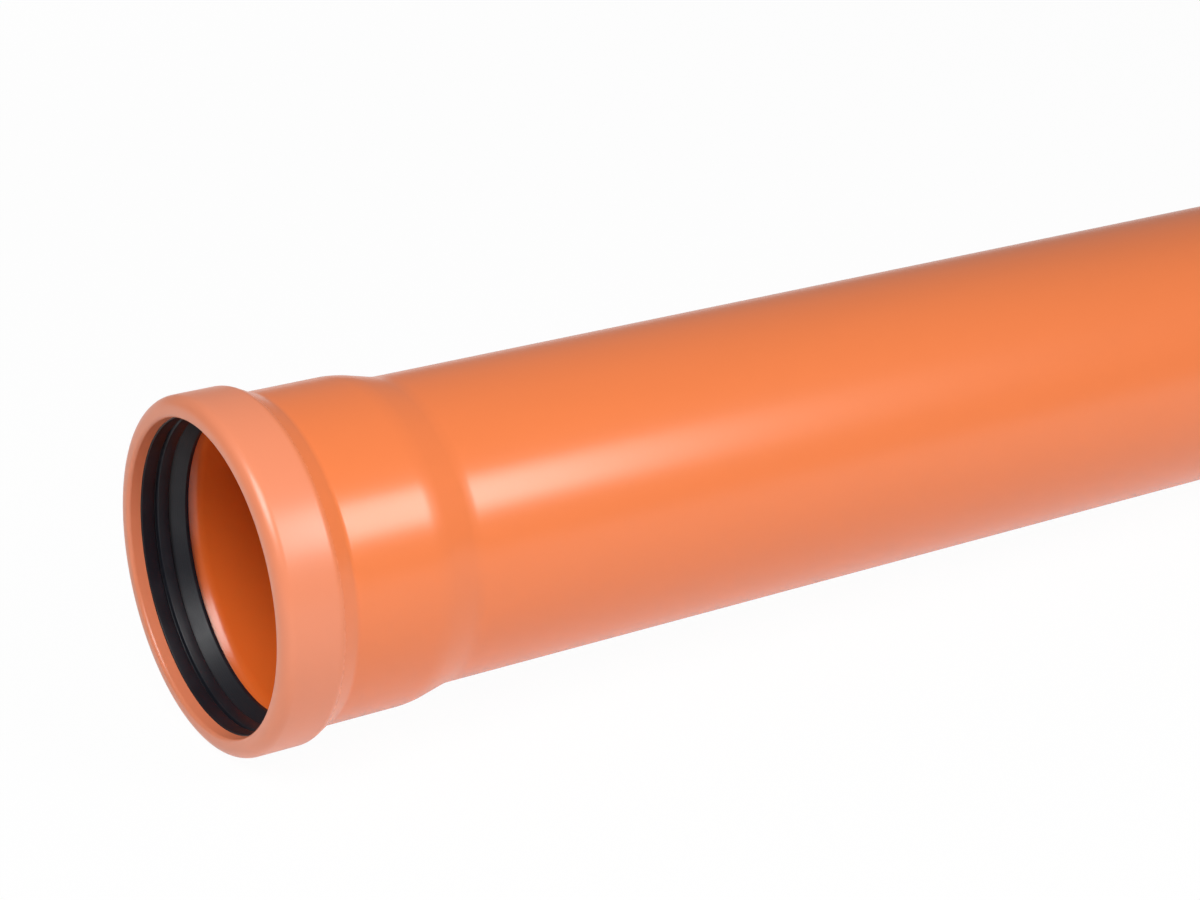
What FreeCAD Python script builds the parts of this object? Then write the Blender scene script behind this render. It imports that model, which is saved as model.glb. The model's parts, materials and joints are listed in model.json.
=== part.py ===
"""One length of orange PVC-U sewer pipe, nominal size 160, with a ring-seal socket.

The barrel and the socket are one extruded piece, belled at one end.  A rubber lip seal
sits in the groove behind the socket's mouth.  Both pieces are turned shapes: they are
drawn with the pipe's axis along X and the mouth at X = 0, and then placed as the pipe
lies on a level floor, on the bead of its socket and on its spigot end.
"""
import FreeCAD, Part
import math
import os
import Sketcher

DOCUMENT_NAME = "SewerPipe"

# The driving dimensions, in millimetres and degrees: alias, value, what it is.
SIZES = [
    ("laying_length", 1000.0, "length that one pipe adds to a run, without its socket"),
    ("barrel_diameter", 160.0, "outside diameter of the barrel and spigot"),
    ("wall", 4.7, "wall thickness, the stiffness class 8 series"),
    ("socket_clearance", 1.3, "socket's bore over the spigot's diameter"),
    ("mouth_clearance", 1.0, "lip's bore over the spigot's diameter"),
    ("groove_depth", 5.85, "depth of the seal's groove below the socket's bore"),
    ("lip_width", 7.3, "width along the axis of the lip in front of the seal"),
    ("bead_length", 30.3, "mouth to the rear corner of the bead"),
    ("step_length", 11.7, "length of the slope from the bead down to the socket"),
    ("socket_length", 49.3, "length of the straight socket behind the step"),
    ("taper_length", 22.2, "length of the slope from the socket down to the barrel"),
    ("mouth_round", 6.6, "outside radius of the mouth's front corner"),
    ("mouth_edge_round", 2.2, "radius of the mouth's inner front edge"),
    ("bead_bend", 5.5, "outside radius at the rear of the bead"),
    ("groove_bend", 0.8, "radius at the rear of the seal's groove, inside the bead"),
    ("step_bend", 6.0, "outside radius at the foot of the step"),
    ("shoulder_bend", 45.0, "outside radius where the taper starts"),
    ("neck_bend", 32.0, "outside radius where the taper meets the barrel"),
    ("spigot_chamfer_length", 7.0, "length of the chamfer on the spigot end"),
    ("spigot_chamfer_angle", 15.0, "angle of that chamfer to the axis"),
    ("seam_turn", 7.5, "turn of the round faces' seam from the level plane"),
    ("seal_seat_gap", 0.2, "clearance between the seal and its groove"),
    ("seal_heel_room", 0.7, "clear length behind the seal's heel, for the bend there"),
    ("seal_heel_depth", 3.0, "thickness of the heel behind the lip's root"),
    ("seal_band_length", 7.0, "length of the plain front band"),
    ("seal_band_rise", 0.6, "front band and rib inside the lip's bore"),
    ("seal_notch_depth", 1.8, "depth of the two grooves beside the rib"),
    ("seal_notch_floor", 0.6, "width of a groove's floor"),
    ("seal_notch_flank", 0.8, "width of each sloping flank of a groove"),
    ("seal_rib_width", 5.6, "width of the rib's crown"),
    ("seal_rib_fall", 1.0, "slope of the rib's crown, towards the axis"),
    ("seal_lip_reach", 7.0, "length of the lip along the axis, from its root to the land"),
    ("seal_lip_land", 2.0, "width of the cylindrical land at the lip's tip"),
    ("seal_lip_grip", 6.0, "lip's free bore under the spigot's diameter"),
    ("seal_lip_thickness", 1.6, "thickness of the lip's tip"),
]

# Sizes that follow from the driving ones: alias, formula, what it is.
DERIVED = [
    ("barrel_radius", "barrel_diameter / 2", "outside radius of the barrel"),
    ("flow_radius", "barrel_radius - wall", "inside radius of the barrel"),
    ("socket_inner_radius", "(barrel_diameter + socket_clearance) / 2",
     "inside radius of the socket"),
    ("socket_outer_radius", "socket_inner_radius + wall", "outside radius of the socket"),
    ("groove_radius", "socket_inner_radius + groove_depth", "inside radius of the seal's groove"),
    ("bead_outer_radius", "groove_radius + wall", "outside radius of the bead"),
    ("mouth_radius", "(barrel_diameter + mouth_clearance) / 2", "inside radius of the lip"),
    ("step_foot", "bead_length + step_length", "mouth to the foot of the step"),
    ("taper_start", "step_foot + socket_length", "mouth to the start of the taper"),
    ("taper_end", "taper_start + taper_length", "mouth to the end of the taper"),
    ("overall_length", "laying_length + taper_start", "mouth to the spigot's end face"),
    ("chamfer_start", "overall_length - spigot_chamfer_length", "mouth to the chamfer"),
    ("spigot_end_radius",
     "barrel_radius - spigot_chamfer_length * tan(spigot_chamfer_angle)",
     "outside radius at the spigot's end face"),
    ("step_slope", "atan((bead_outer_radius - socket_outer_radius) / step_length)",
     "slope of the step"),
    ("taper_slope", "atan((socket_outer_radius - barrel_radius) / taper_length)",
     "slope of the taper"),
    ("step_shift", "wall * tan(step_slope / 2)", "inner corners of the step, towards the mouth"),
    ("taper_shift", "wall * tan(taper_slope / 2)", "inner corners of the taper, likewise"),
    ("groove_end", "bead_length - step_shift", "mouth to the end of the seal's groove"),
    ("socket_inner_start", "step_foot - step_shift", "mouth to the socket's bore"),
    ("socket_inner_end", "taper_start - taper_shift", "mouth to the end of the socket's bore"),
    ("flow_start", "taper_end - taper_shift", "mouth to the start of the flow bore"),
    ("rest_slope",
     "atan((bead_outer_radius - barrel_radius) / (chamfer_start - bead_length))",
     "tilt of the axis as the pipe lies on its bead and its spigot"),
    ("seal_front", "lip_width + seal_seat_gap", "mouth to the front of the seal"),
    ("seal_outer_radius", "groove_radius - seal_seat_gap", "outside radius of the seal"),
    ("seal_band_radius", "mouth_radius - seal_band_rise", "radius of the front band"),
    ("seal_notch_radius", "seal_band_radius + seal_notch_depth", "radius of the groove floors"),
    ("seal_band_end", "seal_front + seal_band_length", "end of the front band"),
    ("seal_first_notch_start", "seal_band_end + seal_notch_flank", "floor of the first groove"),
    ("seal_first_notch_end", "seal_first_notch_start + seal_notch_floor", "end of that floor"),
    ("seal_rib_start", "seal_first_notch_end + seal_notch_flank", "start of the rib's crown"),
    ("seal_rib_end", "seal_rib_start + seal_rib_width", "end of the rib's crown"),
    ("seal_rib_end_radius", "seal_band_radius - seal_rib_fall", "radius there"),
    ("seal_second_notch_start", "seal_rib_end + seal_notch_flank", "floor of the second groove"),
    ("seal_lip_root", "seal_second_notch_start + seal_notch_floor", "root of the sloping lip"),
    ("seal_land_start", "seal_lip_root + seal_lip_reach", "start of the lip's land"),
    ("seal_land_end", "seal_land_start + seal_lip_land", "end of the lip's land"),
    ("seal_lip_radius", "(barrel_diameter - seal_lip_grip) / 2",
     "inside radius of the lip's land"),
    ("seal_lip_back_radius", "seal_lip_radius + seal_lip_thickness", "back of the lip's tip"),
    ("seal_heel_end", "groove_end - seal_heel_room", "rear of the seal's heel"),
    ("seal_heel_radius", "seal_outer_radius - seal_heel_depth", "underside of the heel"),
]


def make_sheet(doc):
    """Write the sizes and the formulas that follow from them into one spreadsheet."""
    sheet = doc.addObject("Spreadsheet::Sheet", "Sizes")
    row = 1
    for alias, value, meaning in SIZES:
        sheet.set(f"A{row}", meaning)
        sheet.set(f"B{row}", str(value))
        sheet.setAlias(f"B{row}", alias)
        row += 1
    for alias, formula, meaning in DERIVED:
        sheet.set(f"A{row}", meaning)
        sheet.set(f"B{row}", "=" + formula)
        sheet.setAlias(f"B{row}", alias)
        row += 1
    doc.recompute()
    return sheet


def sheet_value(sheet, alias):
    """Read one cell as a plain number, in millimetres or degrees."""
    value = sheet.get(alias)
    return getattr(value, "Value", value)


def origin_plane(body, role):
    """Find one of the body's own origin planes."""
    for feature in body.Origin.OriginFeatures:
        if feature.Role == role:
            return feature
    raise RuntimeError(f"{body.Label} has no {role}")


def draw_section(body, name, corners):
    """Sketch a closed section through the corners, each given as a pair of formulas.

    The first formula places a corner along the pipe's axis and the second away from it.
    A formula of "0" puts the corner on the origin's line.
    """
    sheet = body.Document.getObject("Sizes")
    sketch = body.newObject("Sketcher::SketchObject", name)
    sketch.AttachmentSupport = [(origin_plane(body, "XY_Plane"), "")]
    sketch.MapMode = "FlatFace"
    points = []
    for along, away in corners:
        pair = []
        for formula in (along, away):
            pair.append(0.0 if formula == "0" else sheet_value(sheet, formula))
        points.append(FreeCAD.Vector(pair[0], pair[1], 0))
    count = len(points)
    for index in range(count):
        line = Part.LineSegment(points[index], points[(index + 1) % count])
        sketch.addGeometry(line, False)
    for index in range(count):
        joint = Sketcher.Constraint("Coincident", index, 2, (index + 1) % count, 1)
        sketch.addConstraint(joint)
    for index, (along, away) in enumerate(corners):
        place_corner(sketch, index, "DistanceX", along, points[index].x)
        place_corner(sketch, index, "DistanceY", away, points[index].y)
    return sketch


def place_corner(sketch, index, kind, formula, value):
    """Hold one coordinate of a section's corner to its formula."""
    if formula == "0":
        lying_on = -2 if kind == "DistanceX" else -1
        sketch.addConstraint(Sketcher.Constraint("PointOnObject", index, 1, lying_on))
        return
    number = sketch.addConstraint(Sketcher.Constraint(kind, -1, 1, index, 1, value))
    sketch.setExpression(f"Constraints[{number}]", f"Sizes.{formula}")


def turn_section(body, kind, name, sketch):
    """Turn a section about the pipe's axis, to add to the body or to cut from it."""
    feature = body.newObject(f"PartDesign::{kind}", name)
    feature.Profile = sketch
    feature.ReferenceAxis = (sketch, ["H_Axis"])
    feature.Angle = 360
    body.Document.recompute()
    return feature


def ring_edges(shape, along, away):
    """Name the circular edges at this place along the axis and at this radius."""
    tolerance = 1e-4
    names = []
    for number, edge in enumerate(shape.Edges, start=1):
        curve = edge.Curve
        if not isinstance(curve, Part.Circle):
            continue
        same_place = abs(curve.Center.x - along) < tolerance
        same_radius = abs(curve.Radius - away) < tolerance
        if same_place and same_radius:
            names.append(f"Edge{number}")
    if not names:
        raise RuntimeError(f"no ring at {along:.3f}, radius {away:.3f}")
    return names


def round_ring(body, name, corner, radius):
    """Round the ring that a section's corner has drawn, given as a pair of sheet names."""
    sheet = body.Document.getObject("Sizes")
    base = body.Tip
    along, away = [0.0 if word == "0" else sheet_value(sheet, word) for word in corner]
    fillet = body.newObject("PartDesign::Fillet", name)
    fillet.Base = (base, ring_edges(base.Shape, along, away))
    fillet.setExpression("Radius", radius)
    body.Document.recompute()
    return fillet


def lay_down(body):
    """Place a turned body so that the pipe rests on its bead and its spigot end."""
    half = "Sizes.overall_length / 2 * cos(Sizes.rest_slope)"
    drop = "Sizes.bead_length * sin(Sizes.rest_slope)"
    lift = f"{drop} + Sizes.bead_outer_radius * cos(Sizes.rest_slope)"
    tilt = "rotation(vector(0; 1; 0); Sizes.rest_slope)"
    seam = "rotation(vector(1; 0; 0); Sizes.seam_turn)"
    place = f"vector(-({half}); 0; {lift})"
    body.setExpression("Placement", f"placement({place}; {tilt} * {seam})")


def make_pipe(doc):
    """The pipe: its outside is turned and rounded, then its inside is cut and rounded."""
    body = doc.addObject("PartDesign::Body", "Pipe")
    body.Label = "pipe"
    outside = [
        ("0", "0"),
        ("0", "bead_outer_radius"),
        ("bead_length", "bead_outer_radius"),
        ("step_foot", "socket_outer_radius"),
        ("taper_start", "socket_outer_radius"),
        ("taper_end", "barrel_radius"),
        ("chamfer_start", "barrel_radius"),
        ("overall_length", "spigot_end_radius"),
        ("overall_length", "0"),
    ]
    turn_section(body, "Revolution", "Outside", draw_section(body, "OutsideSection", outside))
    round_ring(body, "MouthRound", outside[1], "Sizes.mouth_round")
    round_ring(body, "BeadBend", outside[2], "Sizes.bead_bend")
    round_ring(body, "StepBend", outside[3], "Sizes.step_bend")
    round_ring(body, "ShoulderBend", outside[4], "Sizes.shoulder_bend")
    round_ring(body, "NeckBend", outside[5], "Sizes.neck_bend")

    inside = [
        ("0", "0"),
        ("0", "mouth_radius"),
        ("lip_width", "mouth_radius"),
        ("lip_width", "groove_radius"),
        ("groove_end", "groove_radius"),
        ("socket_inner_start", "socket_inner_radius"),
        ("socket_inner_end", "socket_inner_radius"),
        ("flow_start", "flow_radius"),
        ("overall_length", "flow_radius"),
        ("overall_length", "0"),
    ]
    turn_section(body, "Groove", "Inside", draw_section(body, "InsideSection", inside))
    round_ring(body, "MouthEdge", inside[1], "Sizes.mouth_edge_round")
    round_ring(body, "GrooveBend", inside[4], "Sizes.groove_bend")
    round_ring(body, "InnerStepBend", inside[5], "Sizes.step_bend + Sizes.wall")
    round_ring(body, "InnerShoulderBend", inside[6], "Sizes.shoulder_bend - Sizes.wall")
    round_ring(body, "InnerNeckBend", inside[7], "Sizes.neck_bend + Sizes.wall")
    lay_down(body)
    return body


def make_sealing_ring(doc):
    """The rubber ring: a heel in the groove, a ribbed front band and a sloping lip."""
    body = doc.addObject("PartDesign::Body", "SealingRing")
    body.Label = "sealing_ring"
    section = [
        ("seal_front", "seal_outer_radius"),
        ("seal_front", "seal_band_radius"),
        ("seal_band_end", "seal_band_radius"),
        ("seal_first_notch_start", "seal_notch_radius"),
        ("seal_first_notch_end", "seal_notch_radius"),
        ("seal_rib_start", "seal_band_radius"),
        ("seal_rib_end", "seal_rib_end_radius"),
        ("seal_second_notch_start", "seal_notch_radius"),
        ("seal_lip_root", "seal_notch_radius"),
        ("seal_land_start", "seal_lip_radius"),
        ("seal_land_end", "seal_lip_radius"),
        ("seal_land_end", "seal_lip_back_radius"),
        ("seal_heel_end", "seal_heel_radius"),
        ("seal_heel_end", "seal_outer_radius"),
    ]
    turn_section(body, "Revolution", "Ring", draw_section(body, "RingSection", section))
    lay_down(body)
    return body


def check_document(doc, bodies):
    """Stop if any object failed to build, or if a body isn't one sound solid."""
    for thing in doc.Objects:
        if "Invalid" in thing.State or "Error" in thing.State:
            raise RuntimeError(f"{thing.Label} failed to build")
    for body in bodies:
        shape = body.Shape
        if shape.isNull() or not shape.isValid() or len(shape.Solids) != 1:
            raise RuntimeError(f"{body.Label} is not one sound solid")


def check_volumes(pipe):
    """Stop if the inside cut nothing: the wall holds far less than a solid bar would."""
    outside = pipe.Document.getObject("NeckBend").Shape.Volume
    if pipe.Shape.Volume > outside / 2:
        raise RuntimeError("the pipe was not cut hollow")


def main():
    doc = FreeCAD.newDocument(DOCUMENT_NAME)
    make_sheet(doc)
    pipe = make_pipe(doc)
    bodies = [pipe, make_sealing_ring(doc)]
    doc.recompute()
    check_document(doc, bodies)
    check_volumes(pipe)
    os.makedirs("parts", exist_ok=True)
    for body in bodies:
        body.Shape.exportStep(f"parts/{body.Label}.step")
        print(f"{body.Label}: {body.Shape.Volume / 1e3:.1f} cm3")


main()
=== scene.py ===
"""A length of orange PVC-U sewer pipe with a ring-seal socket, lying on a pale floor.

The pipe and its rubber ring are turned shapes.  Each is drawn as a profile, its corners
are rounded, and it is spun about the pipe's axis and laid down where the frame has it.
"""
import json
import math

import bpy
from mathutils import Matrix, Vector


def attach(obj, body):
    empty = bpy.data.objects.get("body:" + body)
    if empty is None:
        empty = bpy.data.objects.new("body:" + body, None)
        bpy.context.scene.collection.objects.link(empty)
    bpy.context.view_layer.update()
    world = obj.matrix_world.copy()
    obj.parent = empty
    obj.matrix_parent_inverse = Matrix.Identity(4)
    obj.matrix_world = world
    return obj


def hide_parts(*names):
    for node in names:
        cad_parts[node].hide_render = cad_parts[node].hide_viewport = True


bl_info = {
    "name": "Sewer Pipe",
    "version": (1, 0, 0),
    "blender": (4, 5, 0),
    "location": "View3D > Sidebar > Sewer Pipe",
    "description": "Builds a belled sewer pipe, its rubber ring and a plain stage",
    "category": "Add Mesh",
}

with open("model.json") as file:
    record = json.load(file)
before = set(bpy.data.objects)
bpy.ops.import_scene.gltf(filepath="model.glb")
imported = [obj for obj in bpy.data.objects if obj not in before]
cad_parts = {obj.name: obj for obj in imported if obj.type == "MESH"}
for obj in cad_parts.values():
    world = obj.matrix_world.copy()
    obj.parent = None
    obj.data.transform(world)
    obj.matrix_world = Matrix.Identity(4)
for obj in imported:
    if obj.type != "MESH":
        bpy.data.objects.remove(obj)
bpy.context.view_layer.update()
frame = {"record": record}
MOUNTS = {mount["name"]: mount for mount in frame["record"]["mounts"]}
MM = 0.001
TURN_STEPS = 256
WELD_DISTANCE = MM / 100
SAME_PLACE = 1e-6
PIPE_SMOOTH_ANGLE = math.radians(12)
RING_SMOOTH_ANGLE = math.radians(35)
PVC_IOR = 1.56
RUBBER_IOR = 1.42
MOULD_LINE_PITCH = 0.6 * MM
# How much of the floor shows as plain white: to the camera, and in the pipe's gloss.
FLOOR_WHITE_SEEN = 0.97
FLOOR_WHITE_MIRRORED = 0.6
KEY_SIDE = 0.8
FILL_SIZE = (2.0, 0.6)
SOFTBOX_HEIGHT = 0.6
# The softbox is a row of panels, weaker towards the spigot: name, place along the pipe from
# the mouth, width, share of the power.
SOFTBOX_PANELS = (
    ("softbox_near", 0.62, 0.44, 1.0),
    ("softbox_middle", 0.92, 0.16, 0.82),
    ("softbox_far", 1.25, 0.50, 0.06),
)


def millimetres(name, description, value):
    """A length property whose default is given in millimetres."""
    return bpy.props.FloatProperty(
        name=name, description=description, default=value * MM, unit="LENGTH", precision=5
    )


def colour(name, description, value):
    """A linear colour property."""
    return bpy.props.FloatVectorProperty(
        name=name, description=description, default=value, subtype="COLOR", size=3,
        min=0.0, max=1.0,
    )


class PipeSizes(bpy.types.PropertyGroup):
    """Sizes and colours of the pipe itself."""

    barrel_radius: millimetres("Barrel radius", "Outside radius of the barrel", 80.0)
    wall: millimetres("Wall", "Wall thickness", 4.7)
    bead_radius: millimetres("Bead radius", "Outside radius of the bead", 91.2)
    socket_radius: millimetres("Socket radius", "Inside radius behind the seal", 80.65)
    mouth_radius: millimetres("Mouth radius", "Inside radius of the lip", 80.5)
    lip_width: millimetres("Lip width", "Lip's width in front of the seal", 7.3)
    bead_length: millimetres("Bead length", "Mouth to the rear of the bead", 30.3)
    step_length: millimetres("Step length", "Slope from bead to socket", 11.7)
    socket_length: millimetres("Socket length", "Straight socket behind the step", 49.3)
    taper_length: millimetres("Taper length", "Slope from socket to barrel", 22.2)
    overall_length: millimetres("Overall length", "Mouth to spigot end", 1091.3)
    chamfer_length: millimetres("Chamfer length", "Chamfer on the spigot end", 7.0)
    chamfer_angle: bpy.props.FloatProperty(
        name="Chamfer angle", description="Slope of the chamfer", default=math.radians(15),
        subtype="ANGLE",
    )
    mouth_round: millimetres("Mouth round", "Outside radius of the front corner", 6.6)
    mouth_edge: millimetres("Mouth edge", "Radius of the inner front edge", 2.2)
    bead_bend: millimetres("Bead bend", "Outside radius at the rear of the bead", 5.5)
    groove_bend: millimetres("Groove bend", "Radius at the rear of the seal's groove", 0.8)
    step_bend: millimetres("Step bend", "Outside radius at the foot of the step", 6.0)
    shoulder_bend: millimetres("Shoulder bend", "Outside radius at the taper's start", 45.0)
    neck_bend: millimetres("Neck bend", "Outside radius at the taper's end", 32.0)
    cut_edge: millimetres("Cut edge", "Slight wear on the sawn end's edges", 0.25)
    pvc_colour: colour("PVC", "Colour of the barrel", (0.84, 0.207, 0.060))
    bore_colour: colour("Bore", "Colour of the inside", (0.90, 0.170, 0.025))
    # Paler where the pipe is formed: partly the stretched PVC's own tone, partly a painted
    # sheen of white reflections.
    stretched_and_sheen_colour: colour("Stretched PVC with painted sheen", "Colour where it is formed", (0.82, 0.257, 0.128))


class SealSizes(bpy.types.PropertyGroup):
    """Sizes and colours of the rubber ring."""

    front: millimetres("Front", "Mouth to the front of the ring", 7.5)
    outer_radius: millimetres("Outer radius", "Radius of the heel", 86.3)
    band_radius: millimetres("Band radius", "Inside radius of the front band", 79.9)
    band_length: millimetres("Band length", "Length of the front band", 7.0)
    notch_depth: millimetres("Notch depth", "Depth of the grooves beside the rib", 1.8)
    notch_floor: millimetres("Notch floor", "Width of a groove's floor", 0.6)
    notch_flank: millimetres("Notch flank", "Width of a groove's flank", 0.8)
    rib_width: millimetres("Rib width", "Width of the rib's crown", 5.6)
    rib_fall: millimetres("Rib fall", "Slope of the rib's crown, towards the axis", 1.0)
    lip_reach: millimetres("Lip reach", "Root of the lip to its land", 7.0)
    lip_land: millimetres("Lip land", "Width of the lip's land", 2.0)
    lip_radius: millimetres("Lip radius", "Free inside radius of the lip", 77.0)
    lip_thickness: millimetres("Lip thickness", "Thickness of the lip's tip", 1.6)
    heel_length: millimetres("Heel length", "Length of the heel in its groove", 21.0)
    heel_depth: millimetres("Heel depth", "Thickness of the heel's rear", 3.0)
    soft_edge: millimetres("Soft edge", "Radius of the ring's moulded edges", 0.5)
    rubber_colour: colour("Rubber", "Colour of the ring", (0.0085, 0.0095, 0.0145))


class StageSizes(bpy.types.PropertyGroup):
    """The floor, the lamps and the camera."""

    floor_size: millimetres("Floor size", "Side of the floor", 14000.0)
    floor_colour: colour("Floor", "Colour of the floor", (0.90, 0.90, 0.90))
    sky_strength: bpy.props.FloatProperty(
        name="Sky", description="Strength of the even light all round", default=0.10
    )
    sky_gloss: bpy.props.FloatProperty(
        name="Sky gloss", description="Strength of that light in reflections", default=0.27
    )
    floor_gloss: bpy.props.FloatProperty(
        name="Floor gloss", description="Strength of the floor in reflections", default=1.16
    )
    key_power: bpy.props.FloatProperty(
        name="Key", description="Power of the key lamp, in watts", default=17.0
    )
    fill_power: bpy.props.FloatProperty(
        name="Fill", description="Power of the low lamp behind, in watts", default=7.0
    )
    softbox_power: bpy.props.FloatProperty(
        name="Softbox", description="Power of the softbox, in watts", default=5.3
    )
    focal_length: bpy.props.FloatProperty(
        name="Focal length", description="Camera's focal length, in mm", default=91.3
    )
    camera_turn: bpy.props.FloatProperty(
        name="Camera turn", description="Heading, from across the pipe towards its spigot",
        default=math.radians(33.31), subtype="ANGLE",
    )
    camera_pitch: bpy.props.FloatProperty(
        name="Camera pitch", description="How far the camera looks down",
        default=math.radians(21.62), subtype="ANGLE",
    )
    camera_distance: millimetres("Camera distance", "Camera to the point it looks at", 1490.2)
    camera_aim: bpy.props.FloatVectorProperty(
        name="Camera aim", description="Point looked at, from the centre of the mouth",
        default=(0.1772, -0.0885, 0.0590), subtype="TRANSLATION", size=3,
    )


# Where the pipe lies ---------------------------------------------------------------------


def rest_axis():
    """The direction of the pipe's axis, from the mouth to the spigot end."""
    return Vector(MOUNTS["spigot"]["axis"]).normalized()


def mouth_centre():
    """The centre of the mouth's front plane."""
    sizes = bpy.context.scene.pipe_sizes
    spigot = MOUNTS["spigot"]
    half_spigot = spigot["dims"]["length_mm"] * MM / 2
    to_mouth = sizes.overall_length - sizes.chamfer_length - half_spigot
    return Vector(spigot["pos_m"]) - rest_axis() * to_mouth


def rest_tilt():
    """How far the spigot end dips as the pipe lies on its bead."""
    axis = rest_axis()
    return math.atan2(-axis.z, axis.x)


# Turned shapes ---------------------------------------------------------------------------


def new_point(name, corner):
    """Start a mesh as one vertex at a corner, given as (along the axis, away from it)."""
    bpy.ops.object.select_all(action="DESELECT")
    bpy.ops.mesh.primitive_plane_add(size=MM, location=(corner[0], 0, corner[1]))
    piece = bpy.context.object
    piece.name = name
    piece.data.name = name
    bpy.ops.object.transform_apply(location=True, rotation=True, scale=True)
    bpy.ops.object.mode_set(mode="EDIT")
    bpy.ops.mesh.merge(type="CENTER")
    return piece


def draw_profile(name, corners):
    """Draw a closed profile in the plane of the pipe's axis, corner by corner."""
    piece = new_point(name, corners[0])
    for before, after in zip(corners, corners[1:]):
        step = (after[0] - before[0], 0, after[1] - before[1])
        bpy.ops.mesh.extrude_region_move(TRANSFORM_OT_translate={"value": step})
    select_corners(piece, [corners[0], corners[-1]])
    bpy.ops.mesh.edge_face_add()
    return piece


def select_corners(piece, corners):
    """Select a profile's vertices at these places and nothing else."""
    bpy.ops.object.mode_set(mode="OBJECT")
    for vertex in piece.data.vertices:
        place = (vertex.co.x, vertex.co.z)
        vertex.select = any(math.dist(place, corner) < SAME_PLACE for corner in corners)
    for edge in piece.data.edges:
        edge.select = all(piece.data.vertices[index].select for index in edge.vertices)
    bpy.ops.object.mode_set(mode="EDIT")


def round_corner(piece, corners, index, radius, segments):
    """Round one corner of a profile to this radius."""
    here = Vector(corners[index])
    before = (Vector(corners[index - 1]) - here).normalized()
    after = (Vector(corners[(index + 1) % len(corners)]) - here).normalized()
    turn = math.pi - before.angle(after)
    select_corners(piece, [corners[index]])
    bpy.ops.mesh.bevel(
        offset_type="OFFSET", offset=radius * math.tan(turn / 2), segments=segments,
        profile=0.5, affect="VERTICES",
    )


def spin_profile(piece, smooth_angle):
    """Spin a profile about the pipe's axis, close it and shade it."""
    bpy.ops.mesh.select_all(action="SELECT")
    bpy.ops.mesh.spin(
        steps=TURN_STEPS, angle=math.tau, center=(0, 0, 0), axis=(1, 0, 0), dupli=False,
    )
    bpy.ops.mesh.select_all(action="SELECT")
    bpy.ops.mesh.remove_doubles(threshold=WELD_DISTANCE)
    bpy.ops.mesh.normals_make_consistent(inside=False)
    bpy.ops.object.mode_set(mode="OBJECT")
    bpy.ops.object.shade_smooth_by_angle(angle=smooth_angle)


def lay_down(piece):
    """Put a turned piece where the pipe lies, with its place in its mesh."""
    piece.location = mouth_centre()
    piece.rotation_euler = (0, rest_tilt(), 0)
    bpy.ops.object.transform_apply(location=True, rotation=True, scale=True)


# Material nodes --------------------------------------------------------------------------


class Nodes:
    """Adds nodes to a material, a row at a time."""

    def __init__(self, name):
        self.material = bpy.data.materials.new(name)
        self.material.use_nodes = True
        self.tree = self.material.node_tree
        self.shader = self.tree.nodes["Principled BSDF"]

    def add(self, kind, values=None, **settings):
        """Add one node: its settings, then the values or links of its inputs."""
        node = self.tree.nodes.new(f"ShaderNode{kind}")
        for name, value in settings.items():
            setattr(node, name, value)
        for socket, value in (values or {}).items():
            self.feed(node.inputs[socket], value)
        return node

    def feed(self, socket, value):
        """Give an input a value, or link it to another node's output."""
        if isinstance(value, bpy.types.NodeSocket):
            self.tree.links.new(value, socket)
        else:
            socket.default_value = value

    def axis_coordinates(self):
        """Coordinates with X along the pipe's axis and the mouth at zero."""
        place = self.add("TexCoord").outputs["Object"]
        turned = {"Vector": place, "Location": mouth_centre(), "Rotation": (0, rest_tilt(), 0)}
        return self.add("Mapping", turned, vector_type="TEXTURE").outputs["Vector"]

    def radius(self, place):
        """The distance from the pipe's axis."""
        split = self.add("SeparateXYZ", {"Vector": place}).outputs
        squares = [self.math("POWER", split[name], 2.0) for name in "YZ"]
        return self.math("SQRT", self.math("ADD", *squares))

    def stretched(self, vector, scale):
        """The same coordinates, scaled along each axis."""
        return self.add("Mapping", {"Vector": vector, "Scale": scale}).outputs["Vector"]

    def noise(self, vector, scale, detail):
        """A noise value between 0 and 1."""
        values = {"Vector": vector, "Scale": scale, "Detail": detail}
        return self.add("TexNoise", values).outputs["Fac"]

    def ramp(self, value, low, high, to_low=0.0, to_high=1.0):
        """A value eased from one range into another."""
        values = {
            "Value": value, "From Min": low, "From Max": high,
            "To Min": to_low, "To Max": to_high,
        }
        node = self.add("MapRange", values, interpolation_type="SMOOTHSTEP")
        return node.outputs["Result"]

    def math(self, operation, first, second=0.0):
        """One arithmetic step."""
        return self.add("Math", {0: first, 1: second}, operation=operation).outputs[0]

    def mix(self, factor, first, second):
        """A colour between two."""
        node = self.add("Mix", data_type="RGBA")
        self.feed(node.inputs["Factor"], factor)
        self.feed(node.inputs[6], first)
        self.feed(node.inputs[7], second)
        return node.outputs[2]

    def bump(self, height, distance, strength=1.0, under=None):
        """A bump of this height in metres, over another one if there is one."""
        values = {"Height": height, "Distance": distance, "Strength": strength}
        if under is not None:
            values["Normal"] = under
        return self.add("Bump", values).outputs["Normal"]


def opaque(rgb, factor=1.0):
    """A colour with full alpha, scaled."""
    return (rgb[0] * factor, rgb[1] * factor, rgb[2] * factor, 1.0)


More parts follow.
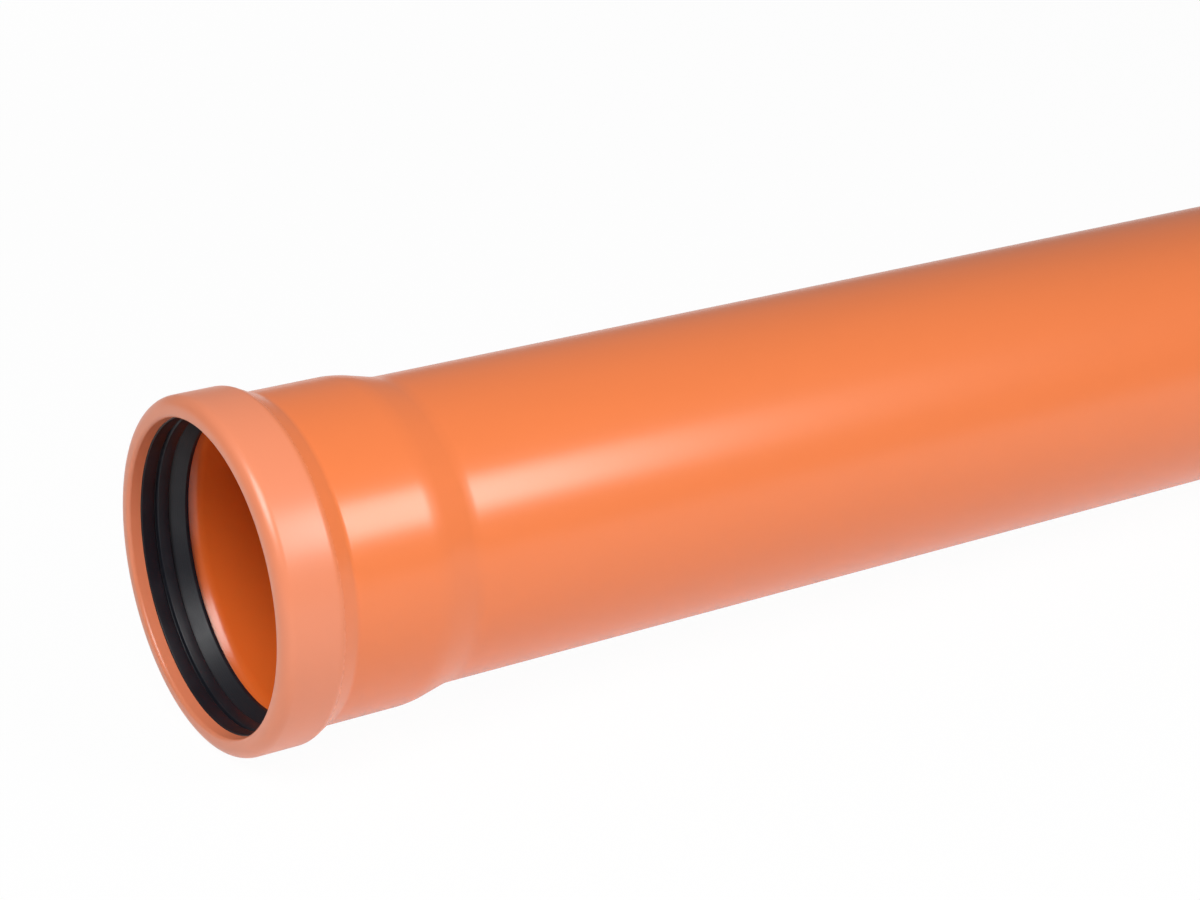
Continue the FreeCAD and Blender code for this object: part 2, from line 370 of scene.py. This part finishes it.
def make_pvc():
    """Extruded PVC-U: glossy, paler (the stretched skin's own tone plus a painted sheen) and
    duller on the formed bead, deeper in the bore.
    """
    sizes = bpy.context.scene.pipe_sizes
    nodes = Nodes("orange_pvc")
    place = nodes.axis_coordinates()
    along = nodes.add("SeparateXYZ", {"Vector": place}).outputs["X"]
    step_foot = sizes.bead_length + sizes.step_length
    formed = nodes.ramp(along, sizes.bead_length - 2 * MM, step_foot - 8 * MM, 1.0, 0.0)

    cloud = nodes.noise(nodes.stretched(place, (2.0, 9.0, 9.0)), 1.0, 3.0)
    streak = nodes.noise(nodes.stretched(place, (1.2, 260.0, 260.0)), 1.0, 3.0)
    drag = nodes.noise(nodes.stretched(place, (0.8, 90.0, 90.0)), 1.0, 2.0)
    grain = nodes.noise(place, 1400.0, 2.0)

    plain = nodes.mix(
        nodes.ramp(cloud, 0.35, 0.65), opaque(sizes.pvc_colour, 0.985),
        opaque(sizes.pvc_colour, 1.015),
    )
    # The formed bead's paler colour is partly the stretched skin's own tone and partly a
    # painted sheen, the white glow of broad reflections on the duller surface.
    outside = nodes.mix(formed, plain, opaque(sizes.stretched_and_sheen_colour))
    taper_start = step_foot + sizes.socket_length
    mid_wall = nodes.ramp(
        along, taper_start, taper_start + sizes.taper_length,
        sizes.socket_radius + 0.5 * sizes.wall, sizes.barrel_radius - 0.9 * sizes.wall,
    )
    inside = nodes.math("LESS_THAN", nodes.radius(place), mid_wall)
    behind_seal = nodes.math("GREATER_THAN", along, sizes.bead_length)
    inside = nodes.math("MULTIPLY", inside, behind_seal)
    drawn = nodes.math("MULTIPLY", drag, nodes.math("SUBTRACT", 1.0, inside))
    tone = nodes.mix(inside, outside, opaque(sizes.bore_colour))
    nodes.feed(nodes.shader.inputs["Base Color"], tone)

    smooth = nodes.ramp(streak, 0.3, 0.7, 0.255, 0.27)
    dull = nodes.ramp(grain, 0.3, 0.7, 0.29, 0.34)
    rough = nodes.add("Mix", {"Factor": formed, "A": smooth, "B": dull}, data_type="FLOAT")
    nodes.feed(nodes.shader.inputs["Roughness"], rough.outputs[0])

    wave = nodes.bump(cloud, 0.0004, 0.3)
    lines = nodes.bump(drawn, 0.00001, 0.15, wave)
    skin = nodes.bump(nodes.math("MULTIPLY", grain, formed), 0.00002, 0.3, lines)
    nodes.feed(nodes.shader.inputs["Normal"], skin)
    nodes.shader.inputs["IOR"].default_value = PVC_IOR
    return nodes.material


def make_rubber():
    """Moulded rubber: near black, satin, with a faint bloom and fine mould lines."""
    sizes = bpy.context.scene.seal_sizes
    nodes = Nodes("black_rubber")
    place = nodes.axis_coordinates()
    bloom = nodes.noise(place, 60.0, 4.0)
    grain = nodes.noise(place, 900.0, 3.0)
    turns = nodes.math("MULTIPLY", nodes.radius(place), math.tau / MOULD_LINE_PITCH)
    rings = nodes.math("SINE", turns)

    tone = nodes.mix(
        nodes.ramp(bloom, 0.45, 0.75), opaque(sizes.rubber_colour),
        opaque(sizes.rubber_colour, 1.3),
    )
    nodes.feed(nodes.shader.inputs["Base Color"], tone)
    nodes.feed(nodes.shader.inputs["Roughness"], nodes.ramp(bloom, 0.3, 0.7, 0.38, 0.48))
    mould_lines = nodes.bump(rings, 0.00002, 0.3)
    nodes.feed(nodes.shader.inputs["Normal"], nodes.bump(grain, 0.00005, 0.4, mould_lines))
    nodes.shader.inputs["IOR"].default_value = RUBBER_IOR
    return nodes.material


# Operators -------------------------------------------------------------------------------


class SEWERPIPE_OT_pipe(bpy.types.Operator):
    """Build the belled pipe, from its mouth to its sawn spigot end"""

    bl_idname = "sewerpipe.pipe"
    bl_label = "Pipe"

    def execute(self, context):
        sizes = context.scene.pipe_sizes
        corners = pipe_corners(sizes)
        piece = draw_profile("belled_pipe", corners)
        for index, radius, segments in pipe_rounds(sizes):
            round_corner(piece, corners, index, radius, segments)
        spin_profile(piece, PIPE_SMOOTH_ANGLE)
        lay_down(piece)
        piece.data.materials.append(make_pvc())
        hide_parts("pipe")
        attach(piece, "root")
        return {"FINISHED"}


def pipe_corners(sizes):
    """The pipe's profile: the outside from the mouth back, then the inside to the mouth."""
    step_foot = sizes.bead_length + sizes.step_length
    taper_start = step_foot + sizes.socket_length
    taper_end = taper_start + sizes.taper_length
    socket_outer = sizes.socket_radius + sizes.wall
    groove = sizes.bead_radius - sizes.wall
    flow = sizes.barrel_radius - sizes.wall
    chamfer_drop = sizes.chamfer_length * math.tan(sizes.chamfer_angle)
    step_slope = math.atan2(sizes.bead_radius - socket_outer, sizes.step_length)
    taper_slope = math.atan2(socket_outer - sizes.barrel_radius, sizes.taper_length)
    step_shift = sizes.wall * math.tan(step_slope / 2)
    taper_shift = sizes.wall * math.tan(taper_slope / 2)
    return [
        (0.0, sizes.bead_radius),
        (sizes.bead_length, sizes.bead_radius),
        (step_foot, socket_outer),
        (taper_start, socket_outer),
        (taper_end, sizes.barrel_radius),
        (sizes.overall_length - sizes.chamfer_length, sizes.barrel_radius),
        (sizes.overall_length, sizes.barrel_radius - chamfer_drop),
        (sizes.overall_length, flow),
        (taper_end - taper_shift, flow),
        (taper_start - taper_shift, sizes.socket_radius),
        (step_foot - step_shift, sizes.socket_radius),
        (sizes.bead_length - step_shift, groove),
        (sizes.lip_width, groove),
        (sizes.lip_width, sizes.mouth_radius),
        (0.0, sizes.mouth_radius),
    ]


def pipe_rounds(sizes):
    """Each rounded corner of that profile: its number, its radius and its segments."""
    wall = sizes.wall
    return [
        (0, sizes.mouth_round, 12),
        (1, sizes.bead_bend, 8),
        (2, sizes.step_bend, 8),
        (3, sizes.shoulder_bend, 10),
        (4, sizes.neck_bend, 8),
        (6, sizes.cut_edge, 3),
        (7, sizes.cut_edge, 3),
        (8, sizes.neck_bend + wall, 8),
        (9, sizes.shoulder_bend - wall, 10),
        (10, sizes.step_bend + wall, 8),
        (11, sizes.groove_bend, 6),
        (14, sizes.mouth_edge, 8),
    ]


class SEWERPIPE_OT_sealing_ring(bpy.types.Operator):
    """Build the rubber ring: its heel, its ribbed band and its sloping lip"""

    bl_idname = "sewerpipe.sealing_ring"
    bl_label = "Sealing ring"

    def execute(self, context):
        sizes = context.scene.seal_sizes
        corners = ring_corners(sizes)
        piece = draw_profile("lip_seal", corners)
        for index in range(len(corners)):
            round_corner(piece, corners, index, sizes.soft_edge, 4)
        spin_profile(piece, RING_SMOOTH_ANGLE)
        lay_down(piece)
        piece.data.materials.append(make_rubber())
        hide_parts("sealing_ring")
        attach(piece, "root")
        return {"FINISHED"}


def ring_corners(sizes):
    """The ring's profile, from the front of its heel round to the heel's rear."""
    notch = sizes.band_radius + sizes.notch_depth
    band_end = sizes.front + sizes.band_length
    first_floor = band_end + sizes.notch_flank
    rib_start = first_floor + sizes.notch_floor + sizes.notch_flank
    rib_end = rib_start + sizes.rib_width
    second_floor = rib_end + sizes.notch_flank
    lip_root = second_floor + sizes.notch_floor
    land_start = lip_root + sizes.lip_reach
    land_end = land_start + sizes.lip_land
    heel_end = sizes.front + sizes.heel_length
    return [
        (sizes.front, sizes.outer_radius),
        (sizes.front, sizes.band_radius),
        (band_end, sizes.band_radius),
        (first_floor, notch),
        (first_floor + sizes.notch_floor, notch),
        (rib_start, sizes.band_radius),
        (rib_end, sizes.band_radius - sizes.rib_fall),
        (second_floor, notch),
        (lip_root, notch),
        (land_start, sizes.lip_radius),
        (land_end, sizes.lip_radius),
        (land_end, sizes.lip_radius + sizes.lip_thickness),
        (heel_end, sizes.outer_radius - sizes.heel_depth),
        (heel_end, sizes.outer_radius),
    ]


class SEWERPIPE_OT_stage(bpy.types.Operator):
    """Set up the pale floor, the even light, the lamps and the camera"""

    bl_idname = "sewerpipe.stage"
    bl_label = "Stage"

    def execute(self, context):
        sizes = context.scene.stage_sizes
        make_floor(sizes)
        make_sky(sizes)
        make_lamps(sizes)
        make_camera(sizes)
        context.scene.view_settings.view_transform = "Standard"
        return {"FINISHED"}


def make_floor(sizes):
    """A level floor under the pipe, which shows white and keeps the pipe's shadow."""
    bpy.ops.object.select_all(action="DESELECT")
    bpy.ops.mesh.primitive_plane_add(size=sizes.floor_size, location=(0, 0, 0))
    floor = bpy.context.object
    floor.name = "floor"
    nodes = Nodes("floor_white")
    nodes.shader.inputs["Base Color"].default_value = opaque(sizes.floor_colour)
    nodes.shader.inputs["Roughness"].default_value = 0.9
    nodes.shader.inputs["Specular IOR Level"].default_value = 0.0
    rays = nodes.add("LightPath")
    glow = nodes.add("Emission", {"Color": (1, 1, 1, 1)})
    seen = nodes.math("MULTIPLY", rays.outputs["Is Camera Ray"], FLOOR_WHITE_SEEN)
    mirrored = nodes.math("MULTIPLY", rays.outputs["Is Glossy Ray"], FLOOR_WHITE_MIRRORED)
    nodes.feed(glow.inputs["Strength"], nodes.ramp(
        rays.outputs["Is Glossy Ray"], 0.0, 1.0, 1.0, sizes.floor_gloss
    ))
    share = nodes.math("MAXIMUM", seen, mirrored)
    both = nodes.add("MixShader", {0: share, 1: nodes.shader.outputs[0], 2: glow.outputs[0]})
    output = nodes.tree.nodes["Material Output"]
    nodes.tree.links.new(both.outputs[0], output.inputs["Surface"])
    floor.data.materials.append(nodes.material)


def make_sky(sizes):
    """Even light from all round: white where it is seen, softer where it lights."""
    world = bpy.data.worlds.new("studio")
    bpy.context.scene.world = world
    world.use_nodes = True
    tree = world.node_tree
    background = tree.nodes["Background"]
    rays = tree.nodes.new("ShaderNodeLightPath")
    mirrored = tree.nodes.new("ShaderNodeMapRange")
    tree.links.new(rays.outputs["Is Glossy Ray"], mirrored.inputs["Value"])
    mirrored.inputs["To Min"].default_value = sizes.sky_strength
    mirrored.inputs["To Max"].default_value = sizes.sky_gloss
    seen = tree.nodes.new("ShaderNodeMapRange")
    tree.links.new(rays.outputs["Is Camera Ray"], seen.inputs["Value"])
    tree.links.new(mirrored.outputs["Result"], seen.inputs["To Min"])
    seen.inputs["To Max"].default_value = 1.0
    tree.links.new(seen.outputs["Result"], background.inputs["Strength"])
    background.inputs["Color"].default_value = (1, 1, 1, 1)


def add_area_lamp(name, place, target, width, height, power):
    """A rectangular lamp at a place, facing a target."""
    bpy.ops.object.select_all(action="DESELECT")
    bpy.ops.object.light_add(type="AREA", location=place)
    lamp = bpy.context.object
    lamp.name = name
    lamp.rotation_euler = (Vector(target) - Vector(place)).to_track_quat("-Z", "Y").to_euler()
    lamp.data.shape = "RECTANGLE"
    lamp.data.size = width
    lamp.data.size_y = height
    lamp.data.energy = power
    return lamp


def make_lamps(sizes):
    """The key by the mouth, a weak fill behind, and the softbox along the near side."""
    mouth = mouth_centre()
    key_place = mouth + Vector((-0.55, -0.60, 1.15))
    key_target = mouth + Vector((0.15, 0, 0))
    add_area_lamp("key", key_place, key_target, KEY_SIDE, KEY_SIDE, sizes.key_power)
    fill_place = mouth + Vector((0.50, 2.00, 0.35))
    fill_target = mouth + Vector((0.50, 0, 0))
    fill = add_area_lamp("fill", fill_place, fill_target, *FILL_SIZE, sizes.fill_power)
    fill.visible_glossy = False
    for name, along, width, share in SOFTBOX_PANELS:
        place = mouth + Vector((along, -1.105, 0.89))
        target = mouth + Vector((along, 0, 0))
        power = sizes.softbox_power * share
        add_area_lamp(name, place, target, width, SOFTBOX_HEIGHT, power)


def make_camera(sizes):
    """The camera, looking down along the pipe from in front of its mouth."""
    turn, pitch = sizes.camera_turn, sizes.camera_pitch
    forward = Vector((
        math.sin(turn) * math.cos(pitch), math.cos(turn) * math.cos(pitch), -math.sin(pitch)
    ))
    aim = mouth_centre() + Vector(sizes.camera_aim)
    bpy.ops.object.camera_add(location=aim - forward * sizes.camera_distance)
    camera = bpy.context.object
    camera.rotation_euler = (math.pi / 2 - pitch, 0, -turn)
    camera.data.lens = sizes.focal_length
    camera.data.sensor_width = 36.0
    camera.data.clip_end = 50.0
    bpy.context.scene.camera = camera


class SEWERPIPE_PT_panel(bpy.types.Panel):
    """Buttons and sizes of the sewer pipe"""

    bl_idname = "SEWERPIPE_PT_panel"
    bl_label = "Sewer Pipe"
    bl_space_type = "VIEW_3D"
    bl_region_type = "UI"
    bl_category = "Sewer Pipe"

    def draw(self, context):
        for operator, group in STEPS:
            self.layout.operator(operator.bl_idname)
            sizes = getattr(context.scene, group)
            for name in sizes.bl_rna.properties.keys():
                if name not in ("rna_type", "name"):
                    self.layout.prop(sizes, name)


STEPS = (
    (SEWERPIPE_OT_pipe, "pipe_sizes"),
    (SEWERPIPE_OT_sealing_ring, "seal_sizes"),
    (SEWERPIPE_OT_stage, "stage_sizes"),
)
GROUPS = {"pipe_sizes": PipeSizes, "seal_sizes": SealSizes, "stage_sizes": StageSizes}
CLASSES = (*GROUPS.values(), *(operator for operator, group in STEPS), SEWERPIPE_PT_panel)


def register():
    for item in CLASSES:
        bpy.utils.register_class(item)
    for name, group in GROUPS.items():
        setattr(bpy.types.Scene, name, bpy.props.PointerProperty(type=group))


def unregister():
    for name in GROUPS:
        delattr(bpy.types.Scene, name)
    for item in reversed(CLASSES):
        bpy.utils.unregister_class(item)


def plain(bounds):
    """Two corners as plain lists."""
    return [[float(number) for number in corner] for corner in bounds]


def main():
    register()
    bpy.ops.sewerpipe.pipe()
    bpy.ops.sewerpipe.sealing_ring()
    bpy.ops.sewerpipe.stage()


if __name__ == "__main__":
    main()
